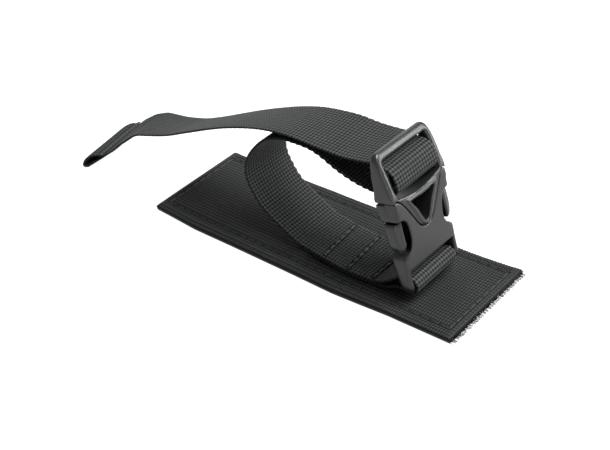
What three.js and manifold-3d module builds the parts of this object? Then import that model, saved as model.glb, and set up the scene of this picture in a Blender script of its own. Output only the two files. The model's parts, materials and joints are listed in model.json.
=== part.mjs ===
// A webbing pad with hook tape under it and a one inch strap sewn on top.
// The strap closes through a side-release buckle whose upper half is a ladder lock.
// Millimetres, +Z up. X runs along the pad, Y across it. The origin is the middle of the
// pad's underside, which is the face that grips or rests.
import * as THREE from 'three';
import { mergeVertices } from 'three/addons/utils/BufferGeometryUtils.js';
import Module from 'manifold-3d';

const wasm = await Module();
wasm.setup();

// Driving dimensions.
const INCH = 25.4;
const PAD_LENGTH = 6 * INCH;
const PAD_WIDTH = 2 * INCH;
const STRAP_WIDTH = INCH;
const STRAP_THICKNESS = 1.3;
const HOOK_TAPE_THICKNESS = 1.2;
const WEBBING_THICKNESS = 1.3;
const CLEARANCE = 0.3;
const LAYER_GAP = 0.15;
const THREAD = 0.5;

const PAD_TOP = HOOK_TAPE_THICKNESS + WEBBING_THICKNESS + LAYER_GAP;
const UNDER_LAYER_Z = PAD_TOP + LAYER_GAP + STRAP_THICKNESS / 2;
const TOP_LAYER_Z = UNDER_LAYER_Z + STRAP_THICKNESS + LAYER_GAP;
const STITCH_Z = TOP_LAYER_Z + STRAP_THICKNESS / 2 + LAYER_GAP;
const SIDE_SEAM_INSET = 5;
const END_SEAM_INSET = 3.4;

// The strap lies a little off the pad's middle line, and the buckle's bar a little further.
const STRAP_Y = -1.5;
const BAR_Y = -2.4;

// Buckle: its own frame has the strap bar at the origin, +X out of the front face,
// +Y across and +Z along the buckle towards the ladder lock.
const BAR = new THREE.Vector3(51.8, BAR_Y, 9.5);
const LEAN = THREE.MathUtils.degToRad(15.3);
const TWIST = THREE.MathUtils.degToRad(1);
const BAR_RADIUS = 2;
const HALF_WIDTH = 16.4;
const COLLAR_HALF_WIDTH = 16.1;
const FOOT_HALF_WIDTH = 15.6;
const BODY_HALF_WIDTH_AT_WINDOW = 10.2;
const SLOT_HALF_WIDTH = 13.4;
const SOCKET_SLOT_TOP = 7.3;
const WINDOW_LOW = 13.6;
const WINDOW_HIGH = 28.4;
const SHOULDER = 36.6;
const NOSE_LOW = 20.2;
const PLATE_BACK = -2.5;
const PLATE_FRONT = 3.4;
const COLLAR_INNER = 14.7;
const LADDER_BAR_LOW = 41.4;
const LADDER_BAR_HIGH = 47.2;
const END_BAR = 54.6;
const END_BAR_RADIUS = 1.8;
const PRONG_PIVOT = new THREE.Vector2(12.4, 33.4);

const colours = {
  webbing: 0x23262a,
  hook: 0x1b1c1e,
  thread: 0x17181a,
  plastic: 0x3a3d40,
};

function fabric(colour) {
  return new THREE.MeshStandardMaterial({ color: colour, roughness: 0.9, metalness: 0 });
}

function plastic() {
  return new THREE.MeshStandardMaterial({ color: colours.plastic, roughness: 0.35, metalness: 0 });
}

// Solids: three.js geometry in, manifold out, and back again.
function toSolid(geometry) {
  const bare = geometry.clone();
  bare.deleteAttribute('normal');
  bare.deleteAttribute('uv');
  const merged = mergeVertices(bare, 1e-4);
  return new wasm.Manifold(new wasm.Mesh({
    numProp: 3,
    vertProperties: new Float32Array(merged.attributes.position.array),
    triVerts: new Uint32Array(merged.index.array),
  }));
}

function toGeometry(solid) {
  const mesh = solid.getMesh();
  const geometry = new THREE.BufferGeometry();
  geometry.setAttribute('position', new THREE.BufferAttribute(mesh.vertProperties, mesh.numProp));
  geometry.setIndex(new THREE.BufferAttribute(mesh.triVerts, 1));
  geometry.computeVertexNormals();
  return geometry;
}

function named(name, geometry, material) {
  const mesh = new THREE.Mesh(geometry, material);
  mesh.name = name;
  return mesh;
}

function toVectors(points) {
  return points.map(([x, y]) => new THREE.Vector2(x, y));
}

// Extrudes an outline drawn in (across, along) out of the buckle's face, from low to high.
const FACE_BASIS = new THREE.Matrix4().makeBasis(
  new THREE.Vector3(0, 1, 0),
  new THREE.Vector3(0, 0, 1),
  new THREE.Vector3(1, 0, 0),
);

function plate(outline, low, high) {
  const geometry = new THREE.ExtrudeGeometry(outline, {
    depth: high - low,
    bevelEnabled: false,
    curveSegments: 8,
  });
  geometry.translate(0, 0, low);
  geometry.applyMatrix4(FACE_BASIS);
  return geometry;
}

// Extrudes an outline drawn in (x, z) across Y, centred on y = 0.
const SIDE_BASIS = new THREE.Matrix4().makeBasis(
  new THREE.Vector3(1, 0, 0),
  new THREE.Vector3(0, 0, 1),
  new THREE.Vector3(0, -1, 0),
);

function acrossPrism(outline, width, curveSegments = 8) {
  const geometry = new THREE.ExtrudeGeometry(outline, {
    depth: width,
    bevelEnabled: false,
    curveSegments,
  });
  geometry.translate(0, 0, -width / 2);
  geometry.applyMatrix4(SIDE_BASIS);
  return geometry;
}

function rectangle(halfWidth, low, high) {
  return new THREE.Shape(toVectors([
    [-halfWidth, low],
    [halfWidth, low],
    [halfWidth, high],
    [-halfWidth, high],
  ]));
}

function block(halfWidth, low, high, back, front) {
  return toSolid(plate(rectangle(halfWidth, low, high), back, front));
}

// The right half of an outline, from bottom to top, closed by its own mirror image.
function mirrored(rightHalf) {
  const left = rightHalf.map((point) => new THREE.Vector2(-point.x, point.y)).reverse();
  const all = rightHalf.concat(left.filter((point) => Math.abs(point.x) > 1e-6));
  return new THREE.Shape(all);
}

// A smooth curve through flat points, which never loops back between close ones.
function flatCurve(points) {
  const stations = points.map(([x, y]) => new THREE.Vector3(x, y, 0));
  return new THREE.CatmullRomCurve3(stations, false, 'centripetal');
}

function smooth(points, divisions) {
  return flatCurve(points).getPoints(divisions).map(({ x, y }) => new THREE.Vector2(x, y));
}

// Webbing strips: a centre line drawn in (x, z), thickened, then extruded across.
// shape(x, z) may move a point sideways (drift) and lift the far edge over the near one (rise).
function strip(route, { thickness = STRAP_THICKNESS, width = STRAP_WIDTH, steps = 40, shape } = {}) {
  const curve = flatCurve(route);
  const upper = [];
  const lower = [];
  for (let i = 0; i <= steps; i += 1) {
    const t = i / steps;
    const { x, y } = curve.getPointAt(t);
    const tangent = curve.getTangentAt(t);
    const half = new THREE.Vector2(-tangent.y, tangent.x).multiplyScalar(thickness / 2);
    upper.push(new THREE.Vector2(x, y).add(half));
    lower.push(new THREE.Vector2(x, y).sub(half));
  }
  const geometry = acrossPrism(new THREE.Shape(lower.concat(upper.reverse())), width);
  if (shape) {
    moveVertices(geometry, (point) => {
      const { drift = 0, rise = 0 } = shape(point.x, point.z);
      point.z += (rise * point.y) / width;
      point.y += drift;
    });
  }
  return geometry;
}

function moveVertices(geometry, move) {
  const position = geometry.attributes.position;
  const point = new THREE.Vector3();
  for (let i = 0; i < position.count; i += 1) {
    point.fromBufferAttribute(position, i);
    move(point);
    position.setXYZ(i, point.x, point.y, point.z);
  }
  geometry.computeVertexNormals();
}

// Straight lines between hand-chosen stations, held flat past either end.
function between(stations, x) {
  const last = stations.length - 1;
  if (x <= stations[0][0]) return stations[0][1];
  if (x >= stations[last][0]) return stations[last][1];
  const next = stations.findIndex(([station]) => station >= x);
  const [x0, v0] = stations[next - 1];
  const [x1, v1] = stations[next];
  return v0 + ((v1 - v0) * (x - x0)) / (x1 - x0);
}

function padSheet(length, width, low, high) {
  const geometry = new THREE.BoxGeometry(length, width, high - low);
  geometry.translate(0, 0, (low + high) / 2);
  return geometry;
}

function makePadWebbing() {
  const low = HOOK_TAPE_THICKNESS + LAYER_GAP;
  return named('pad_webbing', padSheet(PAD_LENGTH, PAD_WIDTH, low, PAD_TOP), fabric(colours.webbing));
}

function makeHookTape() {
  const trim = 0.6;
  const geometry = padSheet(PAD_LENGTH - trim, PAD_WIDTH - trim, 0, HOOK_TAPE_THICKNESS);
  return named('hook_tape', geometry, fabric(colours.hook));
}

// The rectangle that the edge seam follows, drawn in by this much.
function seamRectangle(inset, Path) {
  const x = PAD_LENGTH / 2 - END_SEAM_INSET - inset;
  const y = PAD_WIDTH / 2 - SIDE_SEAM_INSET - inset;
  return new Path(toVectors([[-x, -y], [x, -y], [x, y], [-x, y]]));
}

function makeEdgeSeam() {
  const outline = seamRectangle(0, THREE.Shape);
  outline.holes.push(seamRectangle(THREAD, THREE.Path));
  const geometry = new THREE.ExtrudeGeometry(outline, { depth: THREAD / 2, bevelEnabled: false });
  geometry.translate(0, 0, PAD_TOP + LAYER_GAP / 2);
  return named('pad_edge_seam', geometry, fabric(colours.thread));
}

// How far the sewn strap's middle line wanders from STRAP_Y along the pad.
const SEWN_DRIFT = [[2, -1], [8, -1.8], [20, -3.2], [32, -2.4], [43, BAR_Y - STRAP_Y]];

function sewnShape(x) {
  return { drift: STRAP_Y + between(SEWN_DRIFT, x) };
}

const FOLD_RADIUS = BAR_RADIUS + CLEARANCE + STRAP_THICKNESS / 2;
const FOLD_BOTTOM = -100;
const FOLD_TOP = 90;

function foldPoint(degrees) {
  const angle = THREE.MathUtils.degToRad(degrees);
  return [BAR.x + FOLD_RADIUS * Math.cos(angle), BAR.z + FOLD_RADIUS * Math.sin(angle)];
}

function makeUnderLayer() {
  const [endX, endZ] = foldPoint(FOLD_BOTTOM);
  const route = [
    [3.4, UNDER_LAYER_Z],
    [20, UNDER_LAYER_Z],
    [36, UNDER_LAYER_Z],
    [40, UNDER_LAYER_Z + 0.3],
    [45, endZ - 0.9],
    [endX - CLEARANCE, endZ],
  ];
  return named('strap_under_layer', strip(route, { shape: sewnShape }), fabric(colours.webbing));
}

function makeTopLayer() {
  const [endX, endZ] = foldPoint(FOLD_TOP);
  const route = [
    [LOOP_FOOT_X + CLEARANCE, TOP_LAYER_Z],
    [20, TOP_LAYER_Z],
    [36, TOP_LAYER_Z + 0.1],
    [39.5, TOP_LAYER_Z + 1.2],
    [46, endZ - 1.6],
    [endX - CLEARANCE, endZ],
  ];
  return named('strap_top_layer', strip(route, { shape: sewnShape }), fabric(colours.webbing));
}

function makeWebFold() {
  const route = [];
  for (let degrees = FOLD_BOTTOM; degrees <= FOLD_TOP; degrees += 19) {
    route.push(foldPoint(degrees));
  }
  const geometry = strip(route, { steps: 20, shape: () => ({ drift: BAR_Y }) });
  return named('buckle_web_fold', geometry, fabric(colours.webbing));
}

// Cross seams, each a short run of thread over the strap.
const CROSS_SEAMS = [
  { x: 8, slant: -2.2 },
  { x: 21, slant: -2.4 },
  { x: 34, slant: 0.4 },
];

function makeCrossSeam({ x, slant }, index) {
  const inset = 1.2;
  const span = STRAP_WIDTH - 2 * inset;
  const geometry = new THREE.BoxGeometry(THREAD * 2, span, THREAD / 2);
  geometry.translate(x, 0, STITCH_Z + THREAD / 4);
  moveVertices(geometry, (point) => {
    point.x += (slant * point.y) / span;
    point.y += STRAP_Y + between(SEWN_DRIFT, x);
  });
  return named(`cross_seam_${index + 1}`, geometry, fabric(colours.thread));
}

// The free loop: up from the first cross seam, round, and back under the tail to the plug.
const LOOP_FOOT_X = 2.4;
const LOOP_SPLIT_X = 0;
const LOOP_LOWER = [
  [LOOP_FOOT_X, TOP_LAYER_Z],
  [-4.1, TOP_LAYER_Z + 0.9],
  [-13.2, 10.3],
  [-19.3, 13.8],
  [-23.9, 17.3],
  [-27.4, 22.2],
  [-29.8, 27],
  [-30.3, 32.1],
  [-28.2, 38.5],
  [-24.8, 43.3],
  [-20.7, 47.6],
  [-16, 50.9],
  [-8.1, 53.4],
  [LOOP_SPLIT_X, 54],
];
const LOOP_UPPER = [
  [LOOP_SPLIT_X + CLEARANCE, 54],
  [5, 53.8],
  [10.2, 52.4],
  [18.6, 48.8],
  [28.4, 46.4],
  [36.4, 46],
];
const LOOP_HIGH = 50;
const LOOP_FOOT_DRIFT = -1;

// The loop's foot is sewn a little nearer than its top lies.
function loopShape(x, z) {
  return { drift: STRAP_Y + LOOP_FOOT_DRIFT * Math.max(0, 1 - z / LOOP_HIGH) };
}

function makeLoopLower() {
  const geometry = strip(LOOP_LOWER, { steps: 60, shape: loopShape });
  return named('strap_loop_lower', geometry, fabric(colours.webbing));
}

function makeLoopUpper() {
  const geometry = strip(LOOP_UPPER, { steps: 24, shape: loopShape });
  return named('strap_loop_upper', geometry, fabric(colours.webbing));
}

// The tail: out of the ladder lock, over the loop and down to the surface.
const TAIL = [
  [35.3, 58.3],
  [31.5, 57.8],
  [21.4, 56.6],
  [9.2, 56.6],
  [-7, 55.6],
  [-19.2, 53],
  [-29.4, 49.7],
  [-40.6, 45.4],
  [-49.7, 41.4],
  [-65, 34.3],
  [-76.1, 29.4],
  [-90.4, 24.4],
  [-98, 22],
  [-101, 20.8],
  [-104, 19.3],
  [-107, 17.4],
  [-110, 15.1],
  [-113, 12.4],
  [-116, 10],
  [-120, 7.1],
  [-126.5, 2.4],
];

// How much higher the tail's far edge lies than its near one, and how far it strays sideways.
const TAIL_RISE = [
  [-126, 2.9],
  [-116, 1.9],
  [-107, 1.2],
  [-104, 0],
  [-101, -1.7],
  [-98, -2.8],
  [-90, -3.8],
  [-76, -4.9],
  [-65, -5.4],
  [-50, -5.2],
  [-40, -4.7],
  [-29, -3.8],
  [-19, -2.6],
  [-7, -0.6],
  [9, 1.9],
  [21, 1.5],
  [31, 0.6],
  [35, 0.2],
];
const TAIL_DRIFT = [
  [-126, -7.6],
  [-116, -2],
  [-106, 2],
  [-98, 2],
  [-90, 1.1],
  [-76, 0],
];

function tailShape(x) {
  return { drift: STRAP_Y + between(TAIL_DRIFT, x), rise: between(TAIL_RISE, x) };
}

function makeTail() {
  const geometry = strip(TAIL, { steps: 80, shape: tailShape });
  return named('strap_tail', geometry, fabric(colours.webbing));
}

// The end of the tail is folded back twice on its upper side and sewn down.
const HEM_LENGTH = 16;
const HEM_THICKNESS = 2 * STRAP_THICKNESS + 0.7;
const HEM_SEAM = 12;

// A point this far back from the tail's tip and this far over its centre line.
function overTail(back, lift) {
  const curve = flatCurve(TAIL);
  const t = 1 - back / curve.getLength();
  const tangent = curve.getTangentAt(t);
  const point = curve.getPointAt(t);
  return {
    x: point.x + tangent.y * lift,
    z: point.y - tangent.x * lift,
    slope: Math.atan2(-tangent.y, tangent.x),
  };
}

function makeTailHem() {
  const lift = STRAP_THICKNESS / 2 + CLEARANCE + HEM_THICKNESS / 2;
  const route = [];
  for (let back = 0; back <= HEM_LENGTH; back += 2) {
    const { x, z } = overTail(back, lift);
    route.push([x, z]);
  }
  const geometry = strip(route, { steps: 20, thickness: HEM_THICKNESS, shape: tailShape });
  return named('tail_hem', geometry, fabric(colours.webbing));
}

function makeHemSeam() {
  const lift = STRAP_THICKNESS / 2 + HEM_THICKNESS + 2 * CLEARANCE + THREAD / 4;
  const { x, z, slope } = overTail(HEM_SEAM, lift);
  const geometry = new THREE.BoxGeometry(THREAD * 2, STRAP_WIDTH - 3, THREAD / 2);
  geometry.rotateY(slope);
  geometry.translate(x, 0, z);
  const { drift, rise } = tailShape(x);
  moveVertices(geometry, (vertex) => {
    vertex.z += (rise * vertex.y) / STRAP_WIDTH;
    vertex.y += drift;
  });
  return named('hem_seam', geometry, fabric(colours.thread));
}

// Buckle outlines. One side view serves both halves, so their faces meet flush.
function buckleSide() {
  const front = [
    [3.1, 0],
    [3.2, SOCKET_SLOT_TOP],
    [4.4, 20.6],
    [5.3, 31],
    [5.4, 37],
    [4.6, 43],
    [3.2, 50],
    [END_BAR_RADIUS, END_BAR],
  ];
  const back = [
    [-END_BAR_RADIUS, END_BAR],
    [-2.8, 47],
    [-3.6, 39],
    [-4.2, 31],
    [-4.1, 20],
    [-3.6, 8],
    [-3.1, 0],
  ];
  const outline = new THREE.Shape();
  outline.moveTo(front[0][0], front[0][1]);
  outline.splineThru(toVectors(front.slice(1)));
  outline.absarc(0, END_BAR, END_BAR_RADIUS, 0, Math.PI);
  outline.splineThru(toVectors(back.slice(1)));
  outline.absarc(0, 0, -back[6][0], Math.PI, 2 * Math.PI);
  return toSolid(acrossPrism(outline, 3 * HALF_WIDTH, 6));
}

// The parting line on the front: over the shoulder, then down round the nose.
function partingLine(gap) {
  return smooth([
    [COLLAR_HALF_WIDTH, SHOULDER - 0.5 + gap],
    [14.4, SHOULDER + 0.2 + gap],
    [12.6, SHOULDER - 0.9 + gap],
    [9.8 - gap / 2, 31.6 + gap],
    [7.0 - gap, 26.8],
    [4.6 - gap, 22.8],
    [2.6, NOSE_LOW + 0.7 + gap],
    [0, NOSE_LOW + gap],
  ], 28);
}

// The socket's right edge from its foot, past the side window, to the collar.
function socketSide() {
  return [
    ...smooth([[12, -3.4], [14.5, -2.4], [FOOT_HALF_WIDTH, 0.6]], 5),
    new THREE.Vector2(FOOT_HALF_WIDTH, 10.6),
    ...smooth([
      [FOOT_HALF_WIDTH - 0.3, WINDOW_LOW - 0.6],
      [14, WINDOW_LOW + 0.2],
      [11.8, 15.2],
      [BODY_HALF_WIDTH_AT_WINDOW, 18.6],
      [BODY_HALF_WIDTH_AT_WINDOW + 0.1, 23],
      [11.1, 26.7],
      [12.6, WINDOW_HIGH - 0.1],
      [14.2, WINDOW_HIGH],
      [COLLAR_HALF_WIDTH, WINDOW_HIGH],
    ], 18),
  ];
}

function socketOutline() {
  return mirrored([...socketSide(), ...partingLine(0).slice(1)]);
}

function backOutline() {
  return mirrored([
    ...socketSide(),
    new THREE.Vector2(COLLAR_HALF_WIDTH, SHOULDER - 0.6),
    new THREE.Vector2(12.6, SHOULDER - 0.4),
  ]);
}

function strapBar(radius, along) {
  const bar = new THREE.CylinderGeometry(radius, radius, 2 * SLOT_HALF_WIDTH + 2, 20);
  bar.translate(0, 0, along);
  return toSolid(bar);
}

function makeSocket() {
  const far = 12;
  const frontHalf = toSolid(plate(socketOutline(), 0, far));
  const backHalf = toSolid(plate(backOutline(), -far, 0.01));
  const cavityLow = WINDOW_LOW + 0.8;
  const cavity = block(COLLAR_INNER, cavityLow, 45, PLATE_BACK, PLATE_FRONT);
  const windows = block(2 * HALF_WIDTH, cavityLow, WINDOW_HIGH, PLATE_BACK, PLATE_FRONT);
  const slot = block(SLOT_HALF_WIDTH, -far, SOCKET_SLOT_TOP, -far, far);
  const body = frontHalf
    .add(backHalf)
    .intersect(buckleSide())
    .subtract(cavity)
    .subtract(windows)
    .subtract(slot)
    .add(strapBar(BAR_RADIUS, 0));
  return named('buckle_socket', toGeometry(body), plastic());
}

function plugOutline() {
  const top = END_BAR + END_BAR_RADIUS + 1;
  return mirrored([
    ...partingLine(CLEARANCE).reverse(),
    ...smooth([
      [HALF_WIDTH, 38.5],
      [HALF_WIDTH + 0.1, 41],
      [HALF_WIDTH + 0.1, 46],
      [HALF_WIDTH - 0.1, 50.5],
      [15.8, 53.8],
      [14.4, 55.8],
      [12, 56.8],
      [7, top],
    ], 20),
  ]);
}

function ladderOpening() {
  const inner = SLOT_HALF_WIDTH - 0.2;
  const high = END_BAR - END_BAR_RADIUS;
  const bow = smooth([
    [-inner, 37.6],
    [-inner / 2, 36.3],
    [0, 35.8],
    [inner / 2, 36.3],
    [inner, 37.6],
  ], 12);
  return new THREE.Shape([...bow, new THREE.Vector2(inner, high), new THREE.Vector2(-inner, high)]);
}

function triangleWindow(margin) {
  const right = smooth([
    [0, 22.4 - margin],
    [1 + margin * 0.7, 22.8 - margin * 0.5],
    [2.5 + margin, 25.4],
    [4.4 + margin, 29.4],
    [7.6 + margin, 34 + margin * 0.6],
  ], 12);
  const top = toVectors([[3.8, 33.7 + margin * 0.8], [0, 33.5 + margin * 0.8]]);
  return mirrored([...right, ...top]);
}

function makePlug() {
  const far = 12;
  const rimWidth = 1.8;
  const rimHeight = 0.5;
  const inside = COLLAR_INNER - CLEARANCE;
  const frame = toSolid(plate(plugOutline(), -far, far));
  const rear = block(2 * HALF_WIDTH, 0, SHOULDER + 0.1, -far, PLATE_BACK + CLEARANCE);
  const collarRoom = block(2 * HALF_WIDTH, 0, SHOULDER + 0.1, PLATE_BACK, 0.5)
    .subtract(block(inside, 0, 60, -far, far));
  const back = PLATE_BACK + CLEARANCE;
  const neck = block(inside, PRONG_PIVOT.y + CLEARANCE, SHOULDER + 2, back, PLATE_FRONT - CLEARANCE);
  const opening = toSolid(plate(ladderOpening(), -far, far));
  const window = toSolid(plate(triangleWindow(0), -far, far));
  const bar = block(SLOT_HALF_WIDTH + 1, LADDER_BAR_LOW, LADDER_BAR_HIGH, -1.6, 3);
  let body = frame
    .subtract(rear)
    .subtract(collarRoom)
    .add(neck)
    .intersect(buckleSide())
    .subtract(opening)
    .subtract(window)
    .add(bar);
  const ribCount = 3;
  const ribPitch = 1.8;
  for (let i = 0; i < ribCount; i += 1) {
    const low = LADDER_BAR_LOW + 0.5 + i * ribPitch;
    body = body.add(block(SLOT_HALF_WIDTH, low, low + 0.8, 2.9, 3.4));
  }
  const rim = toSolid(plate(triangleWindow(rimWidth), 0, far))
    .subtract(window)
    .intersect(buckleSide().translate(rimHeight, 0, 0));
  return named('buckle_plug', toGeometry(body.add(rim)), plastic());
}

// The prong on the +Y side; the other is its mirror image.
function prongOutline() {
  const outer = smooth([
    [16.2, WINDOW_HIGH - CLEARANCE - 0.1],
    [16.6, 26.2],
    [16.6, 21.5],
    [16.1, 18.2],
    [14.8, 15.9],
    [13.4, 15.5],
  ], 14);
  const inner = smooth([[12.7, 16.8], [12.6, 21], [12.4, 26], [11.4, 28.6]], 8);
  return [
    new THREE.Vector2(13.5, PRONG_PIVOT.y - CLEARANCE),
    new THREE.Vector2(13.6, WINDOW_HIGH - CLEARANCE),
    ...outer,
    ...inner,
    new THREE.Vector2(11.4, PRONG_PIVOT.y - CLEARANCE),
  ];
}

// The prong's outer face carries two ridges along its length.
const PRONG_BACK = -3.6;
const PRONG_FRONT = 4;

function prongSection() {
  const outer = smooth([
    [PRONG_BACK, 13.6],
    [-3.1, 15.4],
    [-1.7, 16.4],
    [-0.6, 16.6],
    [0.5, 15.9],
    [1.5, 15.8],
    [2.4, 15.6],
    [3.5, 14.5],
    [PRONG_FRONT, 13.4],
  ], 24);
  const step = 13;
  const root = 10;
  return new THREE.Shape([
    ...outer,
    ...toVectors([
      [PRONG_FRONT, step],
      [PLATE_FRONT - CLEARANCE, step],
      [PLATE_FRONT - CLEARANCE, root],
      [PLATE_BACK + CLEARANCE, root],
      [PLATE_BACK + CLEARANCE, step],
      [PRONG_BACK, step],
    ]),
  ]);
}

// Seen from the side, the prong's finger pad has a rounded lower end.
function prongSideView() {
  const low = 15.3;
  const shoulder = 21;
  const outline = new THREE.Shape();
  outline.moveTo(PRONG_BACK - 1, WINDOW_HIGH);
  outline.lineTo(PRONG_BACK - 1, shoulder);
  outline.bezierCurveTo(PRONG_BACK, low + 1, -1.5, low, 0, low);
  outline.bezierCurveTo(1.5, low, PRONG_FRONT, low + 1, PRONG_FRONT + 1, shoulder);
  outline.lineTo(PRONG_FRONT + 1, WINDOW_HIGH);
  return toSolid(acrossPrism(outline, 3 * HALF_WIDTH));
}

function alongPrism(outline, low, high) {
  const geometry = new THREE.ExtrudeGeometry(outline, { depth: high - low, bevelEnabled: false });
  geometry.translate(0, 0, low);
  return toSolid(geometry);
}

function makeProng(side) {
  const outline = prongOutline();
  const pad = toSolid(plate(new THREE.Shape(outline), -12, 12))
    .intersect(alongPrism(prongSection(), 0, WINDOW_HIGH - CLEARANCE))
    .intersect(prongSideView());
  const arm = toSolid(plate(new THREE.Shape(outline), PLATE_BACK + CLEARANCE, PLATE_FRONT - CLEARANCE));
  let solid = arm.add(pad);
  if (side < 0) solid = solid.mirror([0, 1, 0]);
  return named(side > 0 ? 'prong_far' : 'prong_near', toGeometry(solid), plastic());
}

// The strap through the ladder lock, drawn in the buckle's side view (out, along).
const LADDER_WRAP = [
  [-3.6, 38.9],
  [0.5, 38.9],
  [3.6, 39.3],
  [5.3, 41.4],
  [5.2, 44.2],
  [4.7, 46.6],
  [2.9, 48.7],
  [-0.2, 49.8],
  [-2.6, 50.4],
];

function makeLadderWrap() {
  return named('ladder_wrap', strip(LADDER_WRAP, { steps: 36 }), fabric(colours.webbing));
}

const buckle = new THREE.Group();
buckle.position.copy(BAR);
buckle.rotation.set(-TWIST, -LEAN, 0, 'YXZ');
buckle.add(makeSocket(), makePlug(), makeProng(-1), makeProng(1), makeLadderWrap());

const group = new THREE.Group();
group.add(
  makePadWebbing(),
  makeHookTape(),
  makeEdgeSeam(),
  makeUnderLayer(),
  makeTopLayer(),
  makeWebFold(),
  ...CROSS_SEAMS.map(makeCrossSeam),
  makeLoopLower(),
  makeLoopUpper(),
  makeTail(),
  makeTailHem(),
  makeHemSeam(),
  buckle,
);

export default group;
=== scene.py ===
"""A tourniquet band: a hook-backed webbing pad with a one inch strap sewn on it, which
closes through a side-release buckle and leaves its free tail lying over the pad."""
import json
import math

import bmesh
import bpy
import numpy as np
from mathutils import Matrix, Vector

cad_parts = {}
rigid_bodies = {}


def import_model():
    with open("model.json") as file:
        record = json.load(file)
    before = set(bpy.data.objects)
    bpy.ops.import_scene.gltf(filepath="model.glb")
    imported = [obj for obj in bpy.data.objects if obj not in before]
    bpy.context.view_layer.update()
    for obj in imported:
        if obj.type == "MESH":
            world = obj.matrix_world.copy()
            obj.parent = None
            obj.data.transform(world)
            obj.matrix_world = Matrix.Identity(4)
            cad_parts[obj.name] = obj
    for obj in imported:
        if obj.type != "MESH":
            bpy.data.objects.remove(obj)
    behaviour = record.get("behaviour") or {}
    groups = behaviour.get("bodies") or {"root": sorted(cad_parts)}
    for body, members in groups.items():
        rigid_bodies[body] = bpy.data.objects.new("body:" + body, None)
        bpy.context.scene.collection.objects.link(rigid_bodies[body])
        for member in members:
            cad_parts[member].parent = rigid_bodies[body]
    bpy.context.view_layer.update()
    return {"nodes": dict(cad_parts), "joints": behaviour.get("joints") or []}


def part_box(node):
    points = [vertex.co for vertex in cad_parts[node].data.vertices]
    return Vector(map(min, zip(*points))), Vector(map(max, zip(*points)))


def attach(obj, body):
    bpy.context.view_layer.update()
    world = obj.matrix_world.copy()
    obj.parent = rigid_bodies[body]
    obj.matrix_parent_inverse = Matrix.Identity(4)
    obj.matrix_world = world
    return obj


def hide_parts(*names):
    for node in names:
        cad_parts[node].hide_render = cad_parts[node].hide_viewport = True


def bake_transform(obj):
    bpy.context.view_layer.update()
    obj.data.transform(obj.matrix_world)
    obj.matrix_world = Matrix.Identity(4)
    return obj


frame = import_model()

MM = 0.001

# Places that the frame gives.
PAD_LOW, PAD_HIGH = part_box("pad_webbing")
FOLD_LOW, FOLD_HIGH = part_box("buckle_web_fold")
JOINTS = {joint["name"]: joint for joint in frame["joints"]}
BAR = Vector(JOINTS["buckle_swing"]["pos_m"])
END_BAR = Vector(JOINTS["tail_lift"]["pos_m"])
ALONG = Vector(JOINTS["plug_release"]["axis"])
OUT = Vector((ALONG.z, 0, -ALONG.x)).normalized()

PAD_LENGTH = PAD_HIGH.x - PAD_LOW.x
PAD_WIDTH = PAD_HIGH.y - PAD_LOW.y
PAD_TOP = 2.65 * MM
PAD_THICKNESS = 1.3 * MM
TAPE_TOP = 1.2 * MM
STRAP_WIDTH = FOLD_HIGH.y - FOLD_LOW.y
STRAP_Y = END_BAR.y
STRAP_THICKNESS = 1.3 * MM
SIDE_SEAM_INSET = 5 * MM
END_SEAM_INSET = 3.4 * MM

# Weaves: the strap's square cells, and the pad's finer grid.
STRAP_CELL = STRAP_WIDTH / 17
STRAP_STEP = STRAP_CELL / 4
STRAP_RELIEF = 0.34 * MM
SERRATION = 0.5 * MM
PAD_ROW = PAD_LENGTH / 130
PAD_COLUMN = PAD_WIDTH / 32
PAD_RELIEF = 0.3 * MM

# Stitch pitches.
EDGE_STITCH = 4.6 * MM
CROSS_STITCH = 3.6 * MM

rng = np.random.default_rng(7)


# ---------------------------------------------------------------- small helpers
def metres(points):
    return np.array(points, float) * MM


def new_object(name, mesh):
    piece = bpy.data.objects.new(name, mesh)
    bpy.context.scene.collection.objects.link(piece)
    return piece


def smooth_shaded(mesh):
    mesh.polygons.foreach_set("use_smooth", [True] * len(mesh.polygons))
    mesh.update()


def signed_volume(vertices, faces):
    total = 0.0
    for size in {len(face) for face in faces}:
        group = np.array([face for face in faces if len(face) == size])
        first = vertices[group[:, 0]]
        for k in range(1, size - 1):
            second = vertices[group[:, k]]
            third = vertices[group[:, k + 1]]
            total += np.einsum("ij,ij->", first, np.cross(second, third))
    return total / 6


def mesh_piece(name, vertices, faces, cloth=None):
    """A closed mesh object whose faces point outwards. cloth is one vector a point:
    how far along and across the cloth it lies, and how high the weave stands there, lowered at seams and
    edges as painted shade."""
    if signed_volume(vertices, faces) < 0:
        faces = [tuple(reversed(face)) for face in faces]
    mesh = bpy.data.meshes.new(name)
    mesh.from_pydata(vertices.tolist(), [], faces)
    if cloth is not None:
        attribute = mesh.attributes.new("cloth", "FLOAT_VECTOR", "POINT")
        attribute.data.foreach_set("vector", cloth.astype(np.float32).ravel())
    smooth_shaded(mesh)
    return new_object(name, mesh)


def smooth_line(points, step):
    """Points about `step` apart on a centripetal Catmull-Rom curve through these ones."""
    points = np.array(points, float)
    before = 2 * points[0] - points[1]
    after = 2 * points[-1] - points[-2]
    padded = np.vstack([before, points, after])
    fine = [points[0]]
    t = np.linspace(0, 1, 25)[1:, None]
    for a, b, c, d in zip(padded, padded[1:], padded[2:], padded[3:]):
        gap_ab, gap_bc, gap_cd = (max(np.linalg.norm(q - p), 1e-9) ** 0.5
                                  for p, q in ((a, b), (b, c), (c, d)))
        leave = (b - a) / gap_ab - (c - a) / (gap_ab + gap_bc) + (c - b) / gap_bc
        arrive = (c - b) / gap_bc - (d - b) / (gap_bc + gap_cd) + (d - c) / gap_cd
        leave = leave * gap_bc
        arrive = arrive * gap_bc
        curve = (b + leave * t + (3 * (c - b) - 2 * leave - arrive) * t ** 2
                 + (2 * (b - c) + leave + arrive) * t ** 3)
        fine.extend(curve)
    return evenly(np.array(fine), step)


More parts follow.
